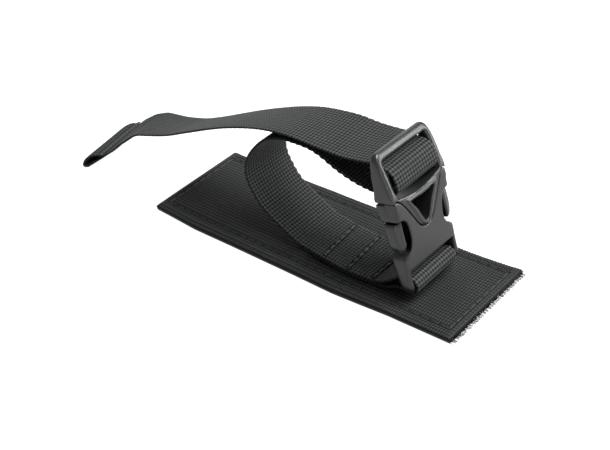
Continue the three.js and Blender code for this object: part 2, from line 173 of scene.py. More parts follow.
def evenly(line, step):
    lengths = np.concatenate([[0], np.cumsum(np.linalg.norm(np.diff(line, axis=0), axis=1))])
    count = max(2, round(lengths[-1] / step) + 1)
    stations = np.linspace(0, lengths[-1], count)
    return np.stack([np.interp(stations, lengths, line[:, k]) for k in range(line.shape[1])], 1)


def line_length(line):
    return float(np.linalg.norm(np.diff(line, axis=0), axis=1).sum())


def blurred(values, reach):
    """A running mean over `reach` neighbours each way, with the ends held."""
    padded = np.pad(values, reach, mode="edge")
    kernel = np.ones(2 * reach + 1) / (2 * reach + 1)
    return np.convolve(padded, kernel, mode="valid")


def wander(count, reach, size):
    """A slow, seeded wander along a row of stations."""
    noise = rng.standard_normal(count)
    slow = blurred(blurred(noise, reach), reach)
    return slow / max(np.abs(slow).max(), 1e-9) * size


# ---------------------------------------------------------------- the weave
def ribbed_weave(along, across):
    """Height of the webbing's weave, 0 in the holes and 1 on the crowns. Both distances are
    counted in crossings: ribs run across the cloth, beaded by the yarns that bind them."""
    rib = np.abs(np.sin(np.pi * along)) ** 0.6
    bead = np.abs(np.sin(np.pi * across)) ** 0.8
    return np.maximum(rib * (0.55 + 0.45 * bead), 0.5 * bead ** 1.5)


def ring_faces(count, ring):
    """Quads between successive rings, and the flat caps that close both ends.
    A ring starts at one edge, crosses the top, turns at the other edge and comes back."""
    half = ring // 2
    faces = []
    for i in range(count - 1):
        low, high = i * ring, (i + 1) * ring
        for k in range(ring):
            following = (k + 1) % ring
            faces.append((low + k, low + following, high + following, high + k))
    for start, flip in ((0, True), ((count - 1) * ring, False)):
        cap = [(start, start + 1, start + ring - 1)]
        for k in range(1, half - 1):
            cap.append((start + k, start + k + 1, start + ring - k - 1, start + ring - k))
        cap.append((start + half - 1, start + half, start + half + 1))
        faces.extend([tuple(reversed(face)) for face in cap] if flip else cap)
    return faces


def strap(name, line, middle, rise, start=0.0, pressed=None):
    """A length of strap. line is its centre line (x, z), middle how far its middle lies
    across, and rise how much higher its far edge is than its near one, at each point.
    pressed may sink some of its points, as stitching does, and paint shade into them."""
    count = len(line)
    step = line_length(line) / (count - 1)
    along = start + np.arange(count) * step
    tangent = np.gradient(line, axis=0)
    tangent /= np.linalg.norm(tangent, axis=1)[:, None]
    normal = np.stack([-tangent[:, 1], tangent[:, 0]], 1)

    columns = round(STRAP_WIDTH / STRAP_STEP)
    inner = np.linspace(-STRAP_WIDTH / 2, STRAP_WIDTH / 2, columns + 1)[1:-1]
    across = np.concatenate([[-STRAP_WIDTH / 2], inner, [STRAP_WIDTH / 2], inner[::-1]])
    side = np.concatenate([[0], np.ones(len(inner)), [0], -np.ones(len(inner))])
    ring = len(across)

    u, v = np.meshgrid(along, across, indexing="ij")
    from_edge = v + STRAP_WIDTH / 2
    weave = ribbed_weave(u / STRAP_CELL, from_edge / STRAP_CELL)
    rounding = 1 - 0.45 * (np.abs(v) / (STRAP_WIDTH / 2)) ** 24
    height = side * (STRAP_THICKNESS / 2 * rounding - STRAP_RELIEF * (1 - weave))
    serration = np.abs(np.sin(np.pi * along / (2 * STRAP_CELL)))
    edge = np.sign(across) * (np.abs(across) / (STRAP_WIDTH / 2)) ** 30
    sideways = v + edge[None, :] * serration[:, None] * SERRATION

    x = line[:, 0, None] + normal[:, 0, None] * height
    y = middle[:, None] + sideways
    z = line[:, 1, None] + normal[:, 1, None] * height + rise[:, None] * v / STRAP_WIDTH
    vertices = np.stack([x, y, z], 2).reshape(-1, 3)
    # The weave's height goes to the material, which paints shade in the hollows and light on the crowns
    # from it.
    cloth = np.stack([u, from_edge, np.where(side == 0, 0.5, weave)], 2).reshape(-1, 3)
    if pressed is not None:
        pressed(vertices, cloth)
    return mesh_piece(name, vertices, ring_faces(count, ring), cloth)


# ---------------------------------------------------------------- materials
class Shader:
    """A node material in the making: each call adds a node and returns its output."""

    def __init__(self, name, **principled):
        self.material = bpy.data.materials.new(name)
        self.material.use_nodes = True
        self.tree = self.material.node_tree
        self.surface = self.tree.nodes["Principled BSDF"]
        for socket, value in principled.items():
            self.surface.inputs[socket.replace("_", " ")].default_value = value

    def node(self, kind, inputs=None, output=0, **settings):
        made = self.tree.nodes.new("ShaderNode" + kind)
        for key, value in settings.items():
            setattr(made, key, value)
        for socket, value in (inputs or {}).items():
            self.put(made.inputs[socket], value)
        return made.outputs[output]

    def put(self, socket, value):
        if isinstance(value, bpy.types.NodeSocket):
            self.tree.links.new(value, socket)
        else:
            socket.default_value = value

    def feed(self, socket, value):
        self.put(self.surface.inputs[socket], value)

    def math(self, operation, *values, clamp=False):
        inputs = dict(enumerate(values))
        return self.node("Math", inputs, operation=operation, use_clamp=clamp)

    def mix(self, amount, low, high):
        return self.node("Mix", {0: amount, 6: low, 7: high}, output=2, data_type="RGBA")

    def spread(self, value, low, high):
        """value from 0 to 1 stretched to run from low to high."""
        return self.node("MapRange", {"Value": value, "To Min": low, "To Max": high})

    def noise(self, vector, scale, detail=2.0, roughness=0.5):
        inputs = {"Vector": vector, "Scale": scale, "Detail": detail, "Roughness": roughness}
        return self.node("TexNoise", inputs)

    def stretched(self, vector, amounts):
        return self.node("VectorMath", {0: vector, 1: amounts}, operation="MULTIPLY")

    def bumped(self, height, strength, distance):
        return self.node("Bump", {"Height": height, "Strength": strength, "Distance": distance})

    def on_object(self):
        return self.node("TexCoord", output=3)


def grey(value, tint=(0.97, 1.02, 1.01)):
    return (value * tint[0], value * tint[1], value * tint[2], 1)


def webbing(name, row, column, lit_crown, shaded_hollow, scuffs):
    """Woven nylon: painted shade between the yarns and in the holes of the weave, a paler painted lit tone
    on their crowns, with fibres that run along each yarn and a little lint."""
    shader = Shader(name, Roughness=0.6, Sheen_Weight=0.04, Sheen_Roughness=0.45,
                    Specular_IOR_Level=0.15)
    cloth = shader.node("Attribute", output=1, attribute_name="cloth")
    parts = shader.tree.nodes.new("ShaderNodeSeparateXYZ")
    shader.put(parts.inputs[0], cloth)
    # height is the weave's height, lowered where the meshes paint shade at seams and edges.
    along, across, height = parts.outputs
    flat = shader.node("CombineXYZ", {0: along, 1: across})

    valleys = []
    for distance, cell in ((along, row), (across, column)):
        turn = shader.math("MULTIPLY", distance, math.pi / cell)
        valleys.append(shader.math("ABSOLUTE", shader.math("COSINE", turn)))
    # Darker still in the weave's holes: this sets painted shade in the colour as well as the bump's height.
    holes = shader.math("POWER", shader.math("MULTIPLY", *valleys), 1.6)
    raised = shader.math("MULTIPLY", height, shader.spread(holes, 1.0, 0.1), clamp=True)

    fibres = shader.noise(shader.stretched(flat, (700, 5200, 1)), 1.0, 3.0, 0.6)
    yarns = shader.noise(flat, 900, 2.0)
    patches = shader.noise(flat, 55, 3.0, 0.6)
    lint = shader.math("GREATER_THAN", shader.noise(shader.stretched(flat, (1, 1.7, 1)), 1400, 1.0), 0.74)

    # Painted shade and light: low places take the shaded tone, crowns take the lit one.
    tone = shader.mix(shader.math("POWER", raised, 1.7), grey(shaded_hollow), grey(lit_crown))
    worn = shader.math("MULTIPLY", shader.spread(patches, 0.7, 1.3), shader.spread(yarns, 0.7, 1.3))
    tone = shader.node("VectorMath", {0: tone, "Scale": worn}, operation="SCALE")
    faded = shader.math("MULTIPLY", lint, scuffs)
    shader.feed("Base Color", shader.mix(faded, tone, grey(2.2 * lit_crown)))
    shader.feed("Roughness", shader.spread(fibres, 0.45, 0.75))
    relief = shader.math("ADD", shader.math("MULTIPLY", raised, 0.8), shader.math("MULTIPLY", fibres, 0.35))
    shader.feed("Normal", shader.bumped(relief, 0.55, 0.12 * MM))
    return shader.material


def thread_material(name, shade, light):
    """Twisted thread, whose plies wind round it."""
    shader = Shader(name, Sheen_Weight=0.2)
    place = shader.on_object()
    plies = shader.noise(shader.stretched(place, (2500, 900, 2500)), 1.0, 2.0)
    shader.feed("Base Color", shader.mix(plies, grey(shade), grey(light)))
    shader.feed("Roughness", shader.spread(plies, 0.35, 0.6))
    shader.feed("Normal", shader.bumped(plies, 0.5, 0.08 * MM))
    return shader.material


def moulded_plastic():
    """Satin acetal: a fine sparked grain, soft sink marks and a few pale rubs on edges."""
    shader = Shader("moulded_buckle_plastic", Roughness=0.3, Specular_IOR_Level=0.6)
    place = shader.on_object()
    grain = shader.noise(place, 5200, 2.0, 0.6)
    mottle = shader.noise(place, 420, 3.0, 0.55)
    sink = shader.noise(place, 90, 2.0)
    edges = shader.node("NewGeometry", output=7)
    rubbed = shader.node("MapRange", {"Value": edges, "From Min": 0.53, "From Max": 0.62})
    rubbed = shader.math("MULTIPLY", rubbed, shader.spread(mottle, 0.1, 0.9), clamp=True)
    body = shader.mix(mottle, grey(0.012), grey(0.020))
    shader.feed("Base Color", shader.mix(rubbed, body, grey(0.05)))
    shader.feed("Roughness", shader.spread(shader.math("ADD", shader.math("MULTIPLY", mottle, 0.6),
                                                       shader.math("MULTIPLY", grain, 0.4)), 0.22, 0.44))
    relief = shader.math("ADD", shader.math("MULTIPLY", grain, 0.25), shader.math("MULTIPLY", sink, 1.0))
    shader.feed("Normal", shader.bumped(relief, 0.12, 0.12 * MM))
    return shader.material


def tape_material():
    """The hook tape's own ground cloth: fine ribs that run along it."""
    shader = Shader("hook_tape_ground", Roughness=0.7, Sheen_Weight=0.2)
    place = shader.on_object()
    ribs = shader.node("TexWave", {"Vector": place, "Scale": 330.0, "Distortion": 0.6,
                                   "Detail": 1.0, "Detail Scale": 3.0}, bands_direction="Y")
    noise = shader.noise(place, 700, 3.0)
    ribs_colour = shader.mix(ribs, grey(0.006), grey(0.03))
    shader.feed("Base Color", shader.mix(shader.math("MULTIPLY", noise, 0.5), ribs_colour, grey(0.02)))
    shader.feed("Roughness", shader.spread(noise, 0.55, 0.85))
    shader.feed("Normal", shader.bumped(shader.math("ADD", ribs, noise), 0.6, 0.15 * MM))
    return shader.material


def hook_material():
    """Cut nylon hooks: dark bristle, with a paler one here and there."""
    shader = Shader("hook_bristle", Specular_IOR_Level=0.2)
    tone = shader.node("Attribute", output=2, attribute_name="bristle_tone")
    fine = shader.noise(shader.on_object(), 2600, 2.0)
    few = shader.math("POWER", tone, 8.0)
    shade = shader.math("MULTIPLY", few, shader.spread(fine, 0.6, 1.2), clamp=True)
    shader.feed("Base Color", shader.mix(shade, grey(0.003), grey(0.06)))
    shader.feed("Roughness", shader.spread(fine, 0.25, 0.5))
    return shader.material


# Each webbing's two tones are its crowns' painted light and its hollows' painted shade.
STRAP_CLOTH = webbing("strap_webbing_nylon", STRAP_CELL, STRAP_CELL, 0.095, 0.002, 0.4)
PAD_CLOTH = webbing("pad_webbing_nylon", PAD_ROW, PAD_COLUMN, 0.058, 0.0015, 0.3)
SEAM_THREAD = thread_material("seam_thread", 0.008, 0.035)
EDGE_THREAD = thread_material("edge_thread", 0.006, 0.03)
PLASTIC = moulded_plastic()
TAPE_CLOTH = tape_material()
HOOK_NYLON = hook_material()


# ---------------------------------------------------------------- node trees
class Tree:
    """A Geometry Nodes tree with named inputs."""

    def __init__(self, name, **inputs):
        self.tree = bpy.data.node_groups.new(name, "GeometryNodeTree")
        interface = self.tree.interface
        interface.new_socket("Geometry", in_out="INPUT", socket_type="NodeSocketGeometry")
        self.ids = {}
        for label, kind in inputs.items():
            socket = interface.new_socket(label, in_out="INPUT", socket_type="NodeSocket" + kind)
            self.ids[label] = socket.identifier
        interface.new_socket("Geometry", in_out="OUTPUT", socket_type="NodeSocketGeometry")
        self.inputs = self.tree.nodes.new("NodeGroupInput").outputs
        self.result = self.tree.nodes.new("NodeGroupOutput").inputs[0]

    def node(self, kind, inputs=None, **settings):
        made = self.tree.nodes.new(kind)
        for key, value in settings.items():
            setattr(made, key, value)
        for socket, value in (inputs or {}).items():
            target = made.inputs[socket]
            if isinstance(value, bpy.types.NodeSocket):
                self.tree.links.new(value, target)
            else:
                target.default_value = value
        return made.outputs

    def finish(self, instances, material):
        realized = self.node("GeometryNodeRealizeInstances", {"Geometry": instances})[0]
        painted = self.node("GeometryNodeSetMaterial", {"Geometry": realized, "Material": material})[0]
        self.tree.links.new(painted, self.result)

    def grow(self, name, seeds, **values):
        """Runs the tree on an object and leaves its result as one plain mesh object."""
        modifier = seeds.modifiers.new("grown", "NODES")
        modifier.node_group = self.tree
        for label, value in values.items():
            modifier[self.ids[label]] = value
        bpy.context.view_layer.update()
        evaluated = seeds.evaluated_get(bpy.context.evaluated_depsgraph_get())
        mesh = bpy.data.meshes.new_from_object(evaluated)
        mesh.name = name
        bpy.data.objects.remove(seeds)
        smooth_shaded(mesh)
        return new_object(name, mesh)


def stitch_tree():
    """One arched stitch on each point of a row, turned along the row."""
    tree = Tree("stitches", Length="Float", Arch="Float", Radius="Float", Material="Material")
    half = tree.node("ShaderNodeMath", {0: tree.inputs["Length"], 1: 0.5}, operation="MULTIPLY")[0]
    back = tree.node("ShaderNodeMath", {0: half, 1: -1.0}, operation="MULTIPLY")[0]
    sunk = tree.node("ShaderNodeMath", {0: tree.inputs["Arch"], 1: -1.0}, operation="MULTIPLY")[0]
    start = tree.node("ShaderNodeCombineXYZ", {0: back, 2: sunk})[0]
    top = tree.node("ShaderNodeCombineXYZ", {2: tree.inputs["Arch"]})[0]
    end = tree.node("ShaderNodeCombineXYZ", {0: half, 2: sunk})[0]
    arch = tree.node("GeometryNodeCurveQuadraticBezier",
                     {"Resolution": 8, "Start": start, "Middle": top, "End": end})[0]
    section = tree.node("GeometryNodeCurvePrimitiveCircle",
                        {"Resolution": 7, "Radius": tree.inputs["Radius"]})[0]
    stitch = tree.node("GeometryNodeCurveToMesh",
                       {"Curve": arch, "Profile Curve": section, "Fill Caps": True})[0]
    row = tree.node("GeometryNodeMeshToCurve", {"Mesh": tree.inputs["Geometry"]})[0]
    points = tree.node("GeometryNodeCurveToPoints", {"Curve": row}, mode="EVALUATED")
    turned = tree.node("FunctionNodeAlignRotationToVector", {"Vector": points[1]},
                       axis="X", pivot_axis="Z")[0]
    placed = tree.node("GeometryNodeInstanceOnPoints",
                       {"Points": points[0], "Instance": stitch, "Rotation": turned})[0]
    tree.finish(placed, tree.inputs["Material"])
    return tree


def hook_tree():
    """One bent bristle on each point, aimed by the point's own angles."""
    tree = Tree("hooks", Height="Float", Reach="Float", Radius="Float", Seed="Int",
                Material="Material")
    down = tree.node("ShaderNodeMath", {0: tree.inputs["Height"], 1: -1.3}, operation="MULTIPLY")[0]
    tip_drop = tree.node("ShaderNodeMath", {0: tree.inputs["Height"], 1: -0.5}, operation="MULTIPLY")[0]
    first = tree.node("ShaderNodeCombineXYZ", {2: down})[0]
    second = tree.node("ShaderNodeCombineXYZ", {0: tree.inputs["Reach"], 2: down})[0]
    tip = tree.node("ShaderNodeCombineXYZ", {0: tree.inputs["Reach"], 2: tip_drop})[0]
    bristle = tree.node("GeometryNodeCurvePrimitiveBezierSegment",
                        {"Resolution": 6, "Start Handle": first, "End Handle": second,
                         "Start": (0, 0, 0), "End": tip})[0]
    section = tree.node("GeometryNodeCurvePrimitiveCircle",
                        {"Resolution": 3, "Radius": tree.inputs["Radius"]})[0]
    hook = tree.node("GeometryNodeCurveToMesh",
                     {"Curve": bristle, "Profile Curve": section, "Fill Caps": True})[0]
    aim = tree.node("GeometryNodeInputNamedAttribute", {"Name": "aim"}, data_type="FLOAT_VECTOR")[0]
    size = tree.node("FunctionNodeRandomValue", {2: 0.85, 3: 1.0, "Seed": tree.inputs["Seed"]})[1]
    tone = tree.node("FunctionNodeRandomValue", {2: 0.0, 3: 1.0, "Seed": tree.inputs["Seed"]})[1]
    placed = tree.node("GeometryNodeInstanceOnPoints",
                       {"Points": tree.inputs["Geometry"], "Instance": hook, "Rotation": aim,
                        "Scale": size})[0]
    toned = tree.node("GeometryNodeStoreNamedAttribute",
                      {"Geometry": placed, "Name": "bristle_tone", "Value": tone},
                      data_type="FLOAT", domain="INSTANCE")[0]
    tree.finish(toned, tree.inputs["Material"])
    return tree


STITCHES = stitch_tree()
HOOKS = hook_tree()


# ---------------------------------------------------------------- the pad
# How far the pad's long edges stray outwards, at places along it.
NEAR_EDGE = [(-76, 0.3), (-66, 0.9), (-52, 1.9), (-30, 1.7), (0, 1.7), (22, 2), (35, 1.2), (48, 0.3),
             (62, 0), (76, -0.3)]
FAR_EDGE = [(-76, 0), (-38, 0.3), (3, 1.2), (20, 0.4), (45, -2.6), (55, -2.3), (66, -1.4), (76, -0.2)]


def stray(x, y):
    """Where a point of the pad lies across it, once its soft edges have strayed."""
    near, far = metres(NEAR_EDGE), metres(FAR_EDGE)
    share = (np.abs(y) / (PAD_WIDTH / 2)) ** 3
    return y + share * np.where(y < 0, -np.interp(x, near[:, 0], near[:, 1]),
                                np.interp(x, far[:, 0], far[:, 1]))


def row_centres(length, pitch):
    """Evenly spaced middles of the stitches in a row, about one pitch apart."""
    count = round(length / pitch)
    return (np.arange(count) + 0.5) / count * length - length / 2, length / count


def seam_depth(x, y, half_length, half_width):
    """How far the edge seam pulls the pad down at a point: a groove, and its needle holes."""
    depth = np.zeros_like(x)
    for fixed, run, half, offset in (
        (half_width, x, half_length, np.abs(np.abs(y) - half_width)),
        (half_length, y, half_width, np.abs(np.abs(x) - half_length)),
    ):
        pitch = row_centres(2 * half, EDGE_STITCH)[1]
        inside = np.abs(run) <= half + 0.4 * MM
        from_hole = np.abs((run + half + pitch / 2) % pitch - pitch / 2)
        groove = 0.28 * MM * np.exp(-(offset / (0.6 * MM)) ** 2)
        hole = 0.4 * MM * np.exp(-(offset ** 2 + from_hole ** 2) / (0.5 * MM) ** 2)
        depth = np.maximum(depth, np.where(inside, groove + hole, 0))
    return depth


def make_pad_webbing():
    rows = round(PAD_LENGTH / PAD_ROW * 4)
    columns = round(PAD_WIDTH / PAD_COLUMN * 4)
    along = np.linspace(-PAD_LENGTH / 2, PAD_LENGTH / 2, rows + 1)
    across = np.linspace(-PAD_WIDTH / 2, PAD_WIDTH / 2, columns + 1)
    u, v = np.meshgrid(along, across, indexing="ij")
    from_end = PAD_LENGTH / 2 - np.abs(u)
    from_side = PAD_WIDTH / 2 - np.abs(v)

    weave = ribbed_weave((u + PAD_LENGTH / 2) / PAD_ROW, (v + PAD_WIDTH / 2) / PAD_COLUMN)
    sealed = np.clip((END_SEAM_INSET - from_end) / (0.8 * MM), 0, 0.85)
    weave = weave * (1 - sealed) + 0.8 * sealed
    roll = 0.5 * MM
    drop = sum(roll * np.clip(1 - distance / (1.2 * MM), 0, 1) ** 2 for distance in (from_end, from_side))
    puff = 0.3 * MM * np.exp(-((np.minimum(from_end, from_side) - 1.9 * MM) / (1.2 * MM)) ** 2)
    depth = seam_depth(u, v, PAD_LENGTH / 2 - END_SEAM_INSET, PAD_WIDTH / 2 - SIDE_SEAM_INSET)
    top = PAD_TOP - PAD_RELIEF * (1 - weave) - drop - depth + puff - 0.1 * MM

    worn = wander(rows + 1, 10, 0.12 * MM)
    y = stray(u, v) + np.where(from_side < 1 * MM, 1, 0) * worn[:, None]
    top_points = np.stack([u, y, top], 2).reshape(-1, 3)
    width = columns + 1
    count = rows + 1

    bottom = np.full(count, PAD_TOP - PAD_THICKNESS)
    near = np.stack([along, y[:, 0], bottom], 1)
    far = np.stack([along, y[:, -1], bottom], 1)
    vertices = np.vstack([top_points, near, far])
    near_start = count * width
    far_start = near_start + count
    faces = []
    for i in range(rows):
        a, b = i * width, (i + 1) * width
        for k in range(columns):
            faces.append((a + k, b + k, b + k + 1, a + k + 1))
        faces.append((a, near_start + i, near_start + i + 1, b))
        faces.append((a + columns, b + columns, far_start + i + 1, far_start + i))
        faces.append((near_start + i, far_start + i, far_start + i + 1, near_start + i + 1))
    first = list(range(width))
    last = [rows * width + k for k in range(width)]
    faces.append(tuple(first + [far_start, near_start]))
    faces.append(tuple(reversed(last + [far_start + rows, near_start + rows])))

    # Painted shade: darker in the edge seam's groove and needle holes, and dark on the outermost rim of the
    # top.
    shaded_rim = np.minimum(from_end, from_side) < 0.3 * MM
    shade = weave * (1 - np.clip(depth / (0.35 * MM), 0, 0.85)) * np.where(shaded_rim, 0.2, 1)
    cloth_top = np.stack([u + PAD_LENGTH / 2, v + PAD_WIDTH / 2, shade], 2).reshape(-1, 3)
    # The pad's sides carry a low value: painted shade on them.
    cloth_side = [np.stack([along, np.full(count, edge), np.full(count, 0.1)], 1)
                  for edge in (0, PAD_WIDTH)]
    cloth = np.vstack([cloth_top, *cloth_side])
    pad = mesh_piece("pad_webbing_woven", vertices, faces, cloth)
    pad.data.materials.append(PAD_CLOTH)
    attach(pad, "pad")
    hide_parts("pad_webbing")


def seam(name, rows, pitch, body, *nodes, thread, radius, arch, turn=None):
    """Rows of stitches; each row is a list of stitch middles."""
    vertices = [point for row in rows for point in row]
    edges = []
    start = 0
    for row in rows:
        edges.extend((start + i, start + i + 1) for i in range(len(row) - 1))
        start += len(row)
    mesh = bpy.data.meshes.new(name)
    mesh.from_pydata([tuple(point) for point in vertices], edges, [])
    piece = STITCHES.grow(name, new_object(name + "_row", mesh), Length=pitch * 0.88,
                          Arch=arch, Radius=radius, Material=thread)
    if turn is not None:
        piece.data.transform(turn)
    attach(piece, body)
    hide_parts(*nodes)


def make_edge_seam():
    half_length = PAD_LENGTH / 2 - END_SEAM_INSET
    half_width = PAD_WIDTH / 2 - SIDE_SEAM_INSET
    height = PAD_TOP - 0.3 * MM
    rows = []
    for y in (-half_width, half_width):
        centres, pitch = row_centres(2 * half_length, EDGE_STITCH)
        rows.append([(x, float(stray(x, y)), height) for x in centres])
    for x in (-half_length, half_length):
        centres, pitch = row_centres(2 * half_width, EDGE_STITCH)
        rows.append([(x, float(stray(x, y)), height) for y in centres])
    seam("pad_edge_stitching", rows, pitch, "pad", "pad_edge_seam", thread=EDGE_THREAD,
         radius=0.24 * MM, arch=0.16 * MM)


def make_hook_tape():
    """The ground cloth under the pad, with its turned-down rim, and the field of hooks."""
    inset = 0.25 * MM
    half_length = PAD_LENGTH / 2 - inset
    half_width = PAD_WIDTH / 2 - inset
    low, rim_low, edge = 0.8 * MM, 0.1 * MM, 0.25 * MM
    section = [(-1, 0, rim_low), (-1, 0, TAPE_TOP - edge), (-1, edge, TAPE_TOP), (1, edge, TAPE_TOP),
               (1, 0, TAPE_TOP - edge), (1, 0, rim_low), (1, 3 * edge, rim_low), (1, 5 * edge, low),
               (-1, 5 * edge, low), (-1, 3 * edge, rim_low)]
    stations = np.linspace(-half_length, half_length, 120)
    vertices = np.array([(x, float(stray(x, side * half_width)) - side * inwards, z)
                         for x in stations for side, inwards, z in section])
    ring = len(section)
    faces = [(i * ring + k, i * ring + (k + 1) % ring, (i + 1) * ring + (k + 1) % ring,
              (i + 1) * ring + k) for i in range(len(stations) - 1) for k in range(ring)]
    last = (len(stations) - 1) * ring
    faces.extend([tuple(range(ring))[::-1], tuple(last + k for k in range(ring))])
    ground = mesh_piece("hook_tape_ground", vertices, faces)
    ground.data.materials.append(TAPE_CLOTH)
    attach(ground, "pad")
    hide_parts("hook_tape")

    points, aims = [], []
    for i, x in enumerate(np.arange(-half_length + 1.6 * MM, half_length - 1 * MM, 1.5 * MM)):
        for y in np.arange(-half_width + 1.8 * MM, half_width - 1.5 * MM, 1.25 * MM):
            jitter = rng.uniform(-0.25, 0.25, 2) * MM
            points.append((x + jitter[0], float(stray(x, y)) + jitter[1], low + 0.05 * MM))
            aims.append((rng.uniform(-0.2, 0.2), rng.uniform(-0.2, 0.2),
                         math.pi * (i % 2) + rng.uniform(-0.4, 0.4)))
    field_of_hooks("hook_field", points, aims, 0.62 * MM, 0.4 * MM, 0.085 * MM)

    # The pitch, height, reach and radius of the short thick fringe, then of the long fine one.
    fringe = [(0.32 * MM, 0.9 * MM, 0.2 * MM, 0.12 * MM), (0.62 * MM, 2.4 * MM, 0.45 * MM, 0.06 * MM)]
    for number, (pitch, height, reach, radius) in enumerate(fringe, 1):
        points, aims = [], []
        for y in np.arange(-half_width + 0.6 * MM, half_width, pitch):
            for root in (0.35, 0.85):
                points.append((half_length - 0.3 * MM, y + rng.uniform(-0.3, 0.3) * MM, root * MM))
                aims.append((rng.uniform(-0.5, 0.5), -rng.uniform(1.3, 1.6), 0))
        for x in np.arange(10 * MM, half_length, 2 * pitch):
            points.append((x, float(stray(x, half_width)), 0.9 * MM))
            aims.append((rng.uniform(1.3, 1.6), 0, 0))
        field_of_hooks(f"edge_hooks_{number}", points, aims, height, reach, radius)


def field_of_hooks(name, points, aims, height, reach, radius):
    mesh = bpy.data.meshes.new(name)
    mesh.from_pydata(points, [], [])
    attribute = mesh.attributes.new("aim", "FLOAT_VECTOR", "POINT")
    attribute.data.foreach_set("vector", np.array(aims, np.float32).ravel())
    hooks = HOOKS.grow(name, new_object(name + "_roots", mesh), Height=height, Reach=reach,
                       Radius=radius, Seed=3, Material=HOOK_NYLON)
    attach(hooks, "pad")


# ---------------------------------------------------------------- the strap
UNDER_Z = 3.45
TOP_Z = 4.9
FOLD_RADIUS = 2.95
FOLD_BOTTOM = -100
FOLD_TOP = 90
SEWN_MIDDLE = [(2, -1), (8, -1.8), (20, -3.2), (32, -2.4), (43, -0.9)]


def fold_point(degrees):
    angle = math.radians(degrees)
    return (BAR.x / MM + FOLD_RADIUS * math.cos(angle), BAR.z / MM + FOLD_RADIUS * math.sin(angle))


def sewn_route():
    """Under the top layer to the buckle's bar, round it, and back over the first layer."""
    low_z = fold_point(FOLD_BOTTOM)[1]
    high_z = fold_point(FOLD_TOP)[1]
    out = [(3.4, UNDER_Z), (20, UNDER_Z), (36, UNDER_Z), (40, UNDER_Z + 0.3), (45, low_z - 0.9)]
    around = [fold_point(angle) for angle in range(FOLD_BOTTOM, FOLD_TOP + 1, 19)]
    back = [(46, high_z - 1.6), (39.5, TOP_Z + 1.2), (36, TOP_Z + 0.1), (20, TOP_Z)]
    return out + around + back


LOOP_LOWER = [
    (2.4, TOP_Z), (-4.1, TOP_Z + 0.9), (-13.2, 10.3), (-19.3, 13.8), (-23.9, 17.3), (-27.4, 22.2),
    (-29.8, 27), (-30.3, 32.1), (-28.2, 38.5), (-24.8, 43.3), (-20.7, 47.6), (-16, 50.9),
    (-8.1, 53.4), (0, 54),
]
LOOP_UPPER = [(0, 54), (5, 53.8), (10.2, 52.4), (18.6, 48.8), (28.4, 46.4), (36.4, 46)]
LADDER_WRAP = [
    (-3.6, 38.9), (0.5, 38.9), (3.6, 39.3), (5.3, 41.4), (5.2, 44.2), (4.7, 46.6), (2.9, 48.7),
    (-0.2, 49.8), (-2.6, 50.4),
]
TAIL = [
    (35.3, 58.3), (31.5, 57.8), (21.4, 56.6), (9.2, 56.6), (-7, 55.6), (-19.2, 53), (-29.4, 49.7),
    (-40.6, 45.4), (-49.7, 41.4), (-65, 34.3), (-76.1, 29.4), (-90.4, 24.4), (-98, 22.1),
    (-101, 21), (-104, 19.6), (-107, 17.8), (-110, 16.1), (-113, 13.7), (-116, 11.5), (-120, 8),
    (-126.5, 2.9),
]
TAIL_RISE = [
    (-126, 3.9), (-120, 4.1), (-116, 5.0), (-113, 4.8), (-110, 3.4), (-107, 2), (-104, 0.6),
    (-101, -1.3), (-98, -2.6), (-90, -3.8), (-76, -4.9), (-65, -5.4), (-50, -5.2), (-40, -4.7),
    (-29, -3.8), (-19, -2.6), (-7, -0.6), (9, 1.9), (21, 1.5), (31, 0.6), (35, 0.2),
]
TAIL_MIDDLE = [(-126, -7.6), (-116, -2), (-106, 2), (-98, 2), (-90, 1.1), (-76, 0)]
LOOP_HIGH = 50 * MM


def loop_middle(line):
    return STRAP_Y - MM * np.maximum(0, 1 - line[:, 1] / LOOP_HIGH)


def sewn_middle(line):
    stations = metres(SEWN_MIDDLE)
    return STRAP_Y + np.interp(line[:, 0], stations[:, 0], stations[:, 1])


def buckle_point(out, along):
    """A point in the buckle's side view, as (x, z) in millimetres."""
    place = BAR / MM + OUT * out + ALONG * along
    return place.x, place.z


def dress_strap(piece, width_along, held, *nodes):
    piece.data.materials.append(STRAP_CLOTH)
    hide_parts(*nodes)


CROSS_SEAMS = [(8, -2.2), (21, -2.4), (34, 0.4)]
CROSS_SPAN = STRAP_WIDTH - 2.4 * MM


def cross_seam_middle(x):
    stations = metres(SEWN_MIDDLE)
    return STRAP_Y + np.interp(x * MM, stations[:, 0], stations[:, 1])


def press_cross_seams(vertices, cloth):
    """Sinks the sewn strap along its cross seams, and deeper at their needle holes, and paints shade into
    the grooves and holes.
    """
    pitch = row_centres(CROSS_SPAN, CROSS_STITCH)[1]
    upper = vertices[:, 2] > TOP_Z * MM
    for x, slant in CROSS_SEAMS:
        y = vertices[:, 1] - cross_seam_middle(x)
        off = vertices[:, 0] - (x + slant * y / CROSS_SPAN) * MM
        from_hole = np.abs((y + CROSS_SPAN / 2 + pitch / 2) % pitch - pitch / 2)
        near = upper & (np.abs(off) < 3 * MM) & (np.abs(y) < CROSS_SPAN / 2 + 0.5 * MM)
        groove = np.exp(-(off / (0.8 * MM)) ** 2)
        hole = np.exp(-(off ** 2 + from_hole ** 2) / (0.75 * MM) ** 2)
        vertices[near, 2] -= (0.3 * groove + 0.7 * hole)[near] * MM
        # Painted shade in the seam's groove and needle holes.
        cloth[near, 2] *= np.clip(1 - 0.5 * groove - 0.5 * hole, 0.02, 1)[near]


def make_cross_seams():
    height = TOP_Z * MM + STRAP_THICKNESS / 2 - 0.05 * MM
    for number, (x, slant) in enumerate(CROSS_SEAMS, 1):
        centres, pitch = row_centres(CROSS_SPAN, CROSS_STITCH)
        row = [(x * MM + slant * MM * y / CROSS_SPAN, cross_seam_middle(x) + y, height) for y in centres]
        seam(f"cross_stitching_{number}", [row], pitch, "pad", f"cross_seam_{number}",
             thread=SEAM_THREAD, radius=0.42 * MM, arch=0.5 * MM)


